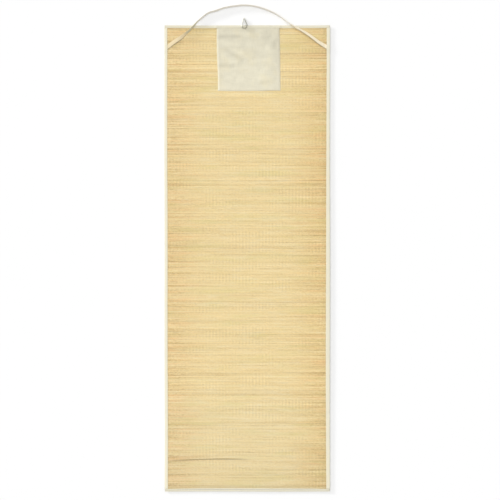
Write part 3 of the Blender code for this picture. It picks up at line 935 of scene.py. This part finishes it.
def make_patch(settings):
    """The patch on its solid's creases, with small wrinkles, a hem round its three open sides, and painted light
    and shade on its creases, folds, top and rim, and darker towards its right side.
    """
    rows = Sections("patch", ALONG)
    tree = tree_of(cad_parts["patch"].data)
    low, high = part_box("patch")
    shares = np.linspace(0, 1, settings.cells + 1)
    lines = sorted(zip(rows.places, rows.lows[:, ACROSS], rows.highs[:, ACROSS]))
    wide = [line for line in lines if line[2] - line[1] > 0.9 * (high.x - low.x)]
    places, lefts, rights = np.array(wide).T
    base = low.y + 0.0002 + (high.y - low.y - 0.0004) * shares[:, None]
    left = np.interp(base, places, lefts) + 0.0002
    right = np.interp(base, places, rights) - 0.0002
    across = left + (right - left) * shares
    sag = (bottom_of(tree, across[0], low.y, high.y) - low.y) * (1 - shares[:, None])
    along = base + sag
    height = heights(tree, across, along)
    height = smoothed(height, 6)
    from_left, from_right = across - left, right - across
    from_bottom, from_top = along - along[0], along[-1] - along
    to_edge = np.minimum(np.minimum(from_left, from_right), from_bottom)
    open_cloth = ease(to_edge / 0.02) * ease((from_top - 0.008) / 0.01)
    wrinkles = 2.2 * ripple(across * 0.6 + along * 0.3, along, 0.034, 2.5) + ripple(across * 0.55, along, 0.016, 3.5)
    wrinkles = np.maximum(wrinkles + 0.4 * ripple(across, along * 0.8, 0.009, 5.5), -0.8)
    height += settings.wrinkle * open_cloth * wrinkles
    hem = 1 - ease((to_edge - settings.hem) / 0.0012)
    turned = ease((to_edge + 0.0004) / 0.0012)
    seam = np.exp(-(((to_edge - settings.hem + 0.0015) / 0.0007) ** 2))
    clear_of_tape = ease((from_top - 0.0065) / 0.004)
    height += (settings.hem_height * hem * turned - 0.00025 * seam) * clear_of_tape
    rim = ease(1 - to_edge / 0.0080) * clear_of_tape
    over = np.stack((across, along, height - 0.0016 * rim), axis=-1)
    under = np.stack((across, along, height - settings.cloth * (1 + rim)), axis=-1)
    # Painted light on crease ridges and shade in hollows, painted shade at the top and light at the bottom, darker
    # towards the right side, and a painted highlight along the rim
    relief = np.clip((height - smoothed(height, 40)) / 0.0009, -1.2, 1.2) * open_cloth
    painted_shading = relief * settings.crease_shading + settings.top_shade * (0.45 - shares[:, None])
    painted_shading = painted_shading - 0.04 * ease(1 - from_right / 0.050) + settings.rim_highlight * rim
    # Painted light and shade of the folds
    for fold in PATCH_FOLD_SHADES:
        painted_shading = painted_shading + fold.tone * near_line(across, along, fold)
    finish = cloth_finish("patch_cotton", settings.colour, 0.0011, tone=0.07)
    piece, flat = sheet("sewn_patch", over, under, finish, painted_shading)
    finished(piece, "patch", "patch")
    return piece


def near_line(across, along, fold):
    """1 on a fold's line, easing to 0 at its width."""
    step = np.array((fold.to_across - fold.from_across, fold.to_along - fold.from_along))
    off = np.stack((across - fold.from_across, along - fold.from_along), axis=-1)
    share = np.clip(off @ step / (step @ step), 0, 1)
    away = np.linalg.norm(off - share[..., None] * step, axis=-1)
    return 1 - ease(away / fold.width)


def smoothed(height, rounds):
    """Heights drawn towards their neighbours' mean, but for those at the edges."""
    height = height.copy()
    for _ in range(rounds):
        inner = (height[:-2, 1:-1] + height[2:, 1:-1] + height[1:-1, :-2] + height[1:-1, 2:]) / 4
        height[1:-1, 1:-1] = inner * 0.7 + height[1:-1, 1:-1] * 0.3
    return height


def bottom_of(tree, across, low, high):
    """Where a flat piece's lower edge is at each place across it."""
    middle = (low + high) / 2
    found = []
    for place in across:
        height = heights(tree, np.array([place]), np.array([low + 0.01]))[0] - 0.0005
        spot = tree.ray_cast(Vector((place, low - 0.05, height)), Vector((0, 1, 0)), middle - low)[0]
        found.append(spot.y if spot else low)
    return np.array(found)


def route(stations, steps):
    """A smooth curve through the stations: places with their turn, and headings."""
    points = np.array(stations, dtype=float)
    reach = lengths_along(points[:, :2])
    paces = np.diff(points, axis=0) / np.diff(reach)[:, None]
    before, after = np.diff(reach)[:-1, None], np.diff(reach)[1:, None]
    slopes = np.vstack((paces[:1], (paces[:-1] * after + paces[1:] * before) / (before + after), paces[-1:]))
    places = []
    for span, width in enumerate(np.diff(reach)):
        for t in np.arange(steps) / steps:
            places.append(
                points[span] * (2 * t**3 - 3 * t**2 + 1)
                + slopes[span] * width * (t**3 - 2 * t**2 + t)
                + points[span + 1] * (3 * t**2 - 2 * t**3)
                + slopes[span + 1] * width * (t**3 - t**2)
            )
    places.append(points[-1])
    places = np.array(places)
    headings = np.gradient(places[:, :2], axis=0)
    return places, headings / np.linalg.norm(headings, axis=1, keepdims=True)


def flat_tape(name, stations, width, thickness, rest, square_end, settings, material, edge_shade=0.0):
    """A woven tape along a route that lies flat or stands on its edge, a little cupped, with soft edges, and
    with painted shadow along the edge towards the mat's middle."""
    places, headings = route(stations, settings.steps)
    lengths = lengths_along(places[:, :2])
    turn = np.radians(places[:, 2])[:, None]
    outward = np.stack((-headings[:, 1], headings[:, 0]), axis=-1)
    share = np.sin(np.linspace(-math.pi / 2, math.pi / 2, settings.columns + 1))
    out = share * width / 2
    along = lengths[:, None]
    wave = ripple(along + share * 0.004, share * 0.006, 0.019, 40.5) * 0.0007
    wave = wave + ripple(along, share * 0.012, 0.007, 44.5) * 0.0002
    settle = ease(np.minimum(along, lengths[-1] - along) / 0.02)
    half = thickness / 2 * np.sqrt(1 - 0.75 * share**6)
    half_height = width / 2 * abs(np.sin(turn)) + thickness / 2 * abs(np.cos(turn))
    faces = []
    for side in (1, -1):
        through = side * half + wave * settle
        offset = out * np.cos(turn) - through * np.sin(turn)
        spot = places[:, None, :2] + outward[:, None] * offset[..., None]
        if square_end:
            to_end = np.minimum(lengths, lengths[-1] - lengths)
            slant = (1 - ease(to_end / square_end)) * headings[:, 1] / headings[:, 0]
            spot = spot + headings[:, None] * (offset * slant[:, None])[..., None]
        height = half_height + out * np.sin(turn) + through * np.cos(turn)
        height = np.maximum(height, 0) + rest(spot[..., 0], spot[..., 1]) + places[:, 3, None]
        faces.append(np.concatenate((spot, height[..., None]), axis=-1))
    # Painted shadow along the edge towards the mat's middle, strongest where the tape lies flat
    low_edge = np.where(along < lengths[-1] / 2, -share, share)
    painted_shading = -edge_shade * ease((low_edge - 0.65) / 0.3) * ease(np.cos(turn) ** 2 * 2)
    return sheet(name, faces[0], faces[1], material, painted_shading)


class Rest:
    """What the strap and the loop lie on: the straw or the patch, then the end tape, then the floor."""

    def __init__(self, over_patch):
        self.tree = tree_of(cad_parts["straw_panel"].data)
        self.tape = Sections("binding_top", ACROSS)
        self.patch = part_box("patch")
        self.over_patch = over_patch

    def __call__(self, across, along):
        seam = self.tape.low(across, ALONG)
        edge = self.tape.high(across, ALONG)
        straw = heights(self.tree, across, np.minimum(along, seam - 0.003))
        on_tape = ease((along - seam + CLIMB_START) / CLIMB_LENGTH)
        height = straw + GAP + np.where(self.over_patch, 0.0022, TAPE_STEP * on_tape)
        return height * (1 - ease((along - edge - DROP_START) / DROP_LENGTH))


def make_strap(settings):
    # Painted shade at the twist, the left end's own colour, and painted light on the right end.
    ends = (
        (settings.twist_shade_colour, *TWIST_SHADE),
        (settings.left_colour, *LEFT_END_COLOUR),
        (settings.right_lit_colour, *RIGHT_END_LIGHT),
    )
    piece, flat = flat_tape(
        "strap_tape",
        STRAP_ROUTE,
        settings.width,
        settings.thickness,
        Rest(over_patch=False),
        STRAP_SQUARE_END,
        settings,
        cloth_finish("strap_cotton", settings.colour, 0.0009, ends=ends),
        edge_shade=settings.edge_shade,
    )
    finished(piece, "strap", "carry_strap")
    return piece


def make_loop(settings):
    # Painted shade on the loop's right leg and on its foot.
    ends = ((settings.loop_shade, *LOOP_SHADE), (settings.loop_shade, *LOOP_FOOT_SHADE))
    piece, _ = flat_tape(
        "loop_tape",
        LOOP_ROUTE,
        settings.loop_width,
        settings.loop_thickness,
        Rest(over_patch=True),
        None,
        settings,
        cloth_finish("loop_cotton", settings.loop_colour, 0.0008, ends=ends),
    )
    return finished(piece, "strap", "closing_loop")


def seam_points(start, finish, pitch):
    """Stitch middles at an even pitch along a straight run between two places."""
    start, finish = np.array(start), np.array(finish)
    count = max(int(np.linalg.norm(finish - start) / pitch), 1)
    shares = (np.arange(count) + 0.5) / count
    return start + (finish - start) * shares[:, None]


def tape_seam(tape, settings):
    """Stitch middles along a tape's seam."""
    name, axis = tape.name, tape.axis
    sections = Sections(name, axis)
    side = ACROSS if axis == ALONG else ALONG
    low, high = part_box(name)
    count = round((high[axis] - low[axis]) / settings.pitch)
    places = low[axis] + (high[axis] - low[axis]) * (np.arange(count) + 0.5) / count
    if tape.outer_low:
        line = sections.high(places, side) - tape.seam
    else:
        line = sections.low(places, side) + tape.seam
    return np.stack((line, places) if axis == ALONG else (places, line), axis=-1)


def sew(name, carrier, seams, settings, slot):
    """Stitches along seams, each seam an array of places, lying on the carrier piece."""
    middles = np.concatenate(seams)
    headings = np.concatenate([np.gradient(seam, axis=0) for seam in seams])
    headings /= np.linalg.norm(headings, axis=1, keepdims=True)
    tree = tree_of(carrier.data)
    reach = settings.length * 0.35
    ends = [heights(tree, *(middles + headings * step).T) for step in (-reach, reach)]
    slope = (ends[1] - ends[0]) / (2 * reach)
    height = (ends[0] + ends[1]) / 2 + settings.thickness * 0.18

    def place(corners):
        run = corners[..., 0] * settings.length
        side = corners[..., 1] * settings.thickness
        up = corners[..., 2] * settings.thickness + height[:, None] + run * slope[:, None]
        across = middles[:, None, 0] + headings[:, None, 0] * run - headings[:, None, 1] * side
        along = middles[:, None, 1] + headings[:, None, 1] * run + headings[:, None, 0] * side
        return np.stack((across, along, up), axis=-1)

    columns = math.ceil(math.sqrt(len(middles)))
    mesh = copies(grains(), len(middles), columns, place, settings.length)
    return finished(piece_of(name, mesh, thread_finish(settings)), slot)




def make_stitching(settings, patch_settings):
    pieces = []
    for tape in TAPES:
        carrier = bpy.data.objects[tape.name + "_tape"]
        pieces.append(sew(tape.name + "_stitches", carrier, [tape_seam(tape, settings)], settings, "binding"))
    low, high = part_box("patch")
    inset = patch_settings.hem - 0.0015
    left, right, bottom, top = low.x + inset, high.x - inset, low.y + inset, high.y - 0.0075
    slant = 0.0065
    seams = [
        seam_points((left, top), (left + slant, bottom), settings.pitch),
        seam_points((left + slant, bottom), (right, bottom), settings.pitch),
        seam_points((right, bottom), (right, top), settings.pitch),
    ]
    pieces.append(sew("patch_stitches", bpy.data.objects["sewn_patch"], seams, settings, "patch"))
    return pieces


def make_stage(settings):
    """A pale floor, a soft light overhead, another from the upper left, and a camera straight above."""
    shape = bmesh.new()
    bmesh.ops.create_grid(shape, x_segments=4, y_segments=4, size=40)
    floor = piece_of("floor", mesh_of(shape), floor_finish(tuple(settings.floor)))
    for name, strength, spread, elevation, azimuth in (
        ("overhead_light", settings.overhead, 60, 80, 150),
        ("side_light", settings.side, 9, 16, 148),
    ):
        light = bpy.data.lights.new(name, "SUN")
        light.energy = strength
        light.angle = math.radians(spread)
        lamp = bpy.data.objects.new(name, light)
        rise, turn = math.radians(elevation), math.radians(azimuth)
        towards = Vector((math.cos(rise) * math.cos(turn), math.cos(rise) * math.sin(turn), math.sin(rise)))
        lamp.rotation_euler = towards.to_track_quat("Z", "Y").to_euler()
        lamp.location = towards * 4
        bpy.context.scene.collection.objects.link(lamp)
    world = bpy.data.worlds.new("studio")
    world.use_nodes = True
    world.node_tree.nodes["Background"].inputs["Strength"].default_value = settings.sky
    world.node_tree.nodes["Background"].inputs["Color"].default_value = (1, 1, 1, 1)
    bpy.context.scene.world = world
    camera = bpy.data.cameras.new("camera")
    camera.lens = settings.lens
    camera.sensor_width = 36
    camera.clip_end = 100
    viewer = bpy.data.objects.new("camera", camera)
    distance = settings.view_width * settings.lens / camera.sensor_width
    viewer.location = (settings.middle_across, settings.middle_along, distance)
    bpy.context.scene.collection.objects.link(viewer)
    bpy.context.scene.camera = viewer
    bpy.context.scene.view_settings.view_transform = "Standard"


class BEACHMAT_OT_straws(Operator):
    """Lay every straw of the mat side by side, each with its own width, taper, sway and tone"""

    bl_idname = "beachmat.straws"
    bl_label = "Straws"

    def execute(self, context):
        make_straws(context.scene.beachmat_straws, context.scene.beachmat_threads.spacing)
        return {"FINISHED"}


class BEACHMAT_OT_threads(Operator):
    """Weave the cotton warp threads over and under the straws"""

    bl_idname = "beachmat.threads"
    bl_label = "Warp Threads"

    def execute(self, context):
        make_threads(context.scene.beachmat_threads, context.scene.beachmat_straws)
        return {"FINISHED"}


class BEACHMAT_OT_tapes(Operator):
    """Fold the cotton tapes over the four edges"""

    bl_idname = "beachmat.tapes"
    bl_label = "Edge Tapes"

    def execute(self, context):
        for tape in TAPES:
            make_tape(tape, context.scene.beachmat_tapes)
        return {"FINISHED"}


class BEACHMAT_OT_patch(Operator):
    """Sew the hemmed cotton patch on below the top tape"""

    bl_idname = "beachmat.patch"
    bl_label = "Patch"

    def execute(self, context):
        make_patch(context.scene.beachmat_patch)
        return {"FINISHED"}


class BEACHMAT_OT_strap(Operator):
    """Run the carry strap from side to side, flat at its ends and on its edge round the top"""

    bl_idname = "beachmat.strap"
    bl_label = "Carry Strap"

    def execute(self, context):
        make_strap(context.scene.beachmat_strap)
        return {"FINISHED"}


class BEACHMAT_OT_loop(Operator):
    """Stand the closing loop on its edge at the middle of the top tape"""

    bl_idname = "beachmat.loop"
    bl_label = "Closing Loop"

    def execute(self, context):
        make_loop(context.scene.beachmat_strap)
        return {"FINISHED"}


class BEACHMAT_OT_stitching(Operator):
    """Sew along the tapes and the patch's hem"""

    bl_idname = "beachmat.stitching"
    bl_label = "Stitching"

    def execute(self, context):
        make_stitching(context.scene.beachmat_stitches, context.scene.beachmat_patch)
        return {"FINISHED"}


class BEACHMAT_OT_stage(Operator):
    """Set up the floor, the lights and the camera"""

    bl_idname = "beachmat.stage"
    bl_label = "Stage"

    def execute(self, context):
        make_stage(context.scene.beachmat_stage)
        return {"FINISHED"}


OPERATORS = (
    BEACHMAT_OT_straws,
    BEACHMAT_OT_threads,
    BEACHMAT_OT_tapes,
    BEACHMAT_OT_patch,
    BEACHMAT_OT_strap,
    BEACHMAT_OT_loop,
    BEACHMAT_OT_stitching,
    BEACHMAT_OT_stage,
)

SETTINGS = (
    ("beachmat_straws", StrawSettings),
    ("beachmat_threads", ThreadSettings),
    ("beachmat_tapes", TapeSettings),
    ("beachmat_patch", PatchSettings),
    ("beachmat_strap", StrapSettings),
    ("beachmat_stitches", StitchSettings),
    ("beachmat_stage", StageSettings),
)


class BEACHMAT_PT_panel(Panel):
    """Lists the pieces and their sizes in the 3D view's sidebar"""

    bl_idname = "BEACHMAT_PT_panel"
    bl_label = "Beach Mat"
    bl_space_type = "VIEW_3D"
    bl_region_type = "UI"
    bl_category = "Beach Mat"

    def draw(self, context):
        for operator in OPERATORS:
            self.layout.operator(operator.bl_idname)
        for name, group in SETTINGS:
            box = self.layout.box()
            box.label(text=group.__doc__)
            for field in group.__annotations__:
                box.prop(getattr(context.scene, name), field)


def register():
    for name, group in SETTINGS:
        bpy.utils.register_class(group)
        setattr(bpy.types.Scene, name, PointerProperty(type=group))
    for operator in OPERATORS:
        bpy.utils.register_class(operator)
    bpy.utils.register_class(BEACHMAT_PT_panel)


def unregister():
    bpy.utils.unregister_class(BEACHMAT_PT_panel)
    for operator in reversed(OPERATORS):
        bpy.utils.unregister_class(operator)
    for name, group in reversed(SETTINGS):
        delattr(bpy.types.Scene, name)
        bpy.utils.unregister_class(group)


def main():
    register()
    bpy.ops.beachmat.straws()
    bpy.ops.beachmat.threads()
    bpy.ops.beachmat.tapes()
    bpy.ops.beachmat.patch()
    bpy.ops.beachmat.strap()
    bpy.ops.beachmat.loop()
    bpy.ops.beachmat.stitching()
    bpy.ops.beachmat.stage()


if __name__ == "__main__":
    main()
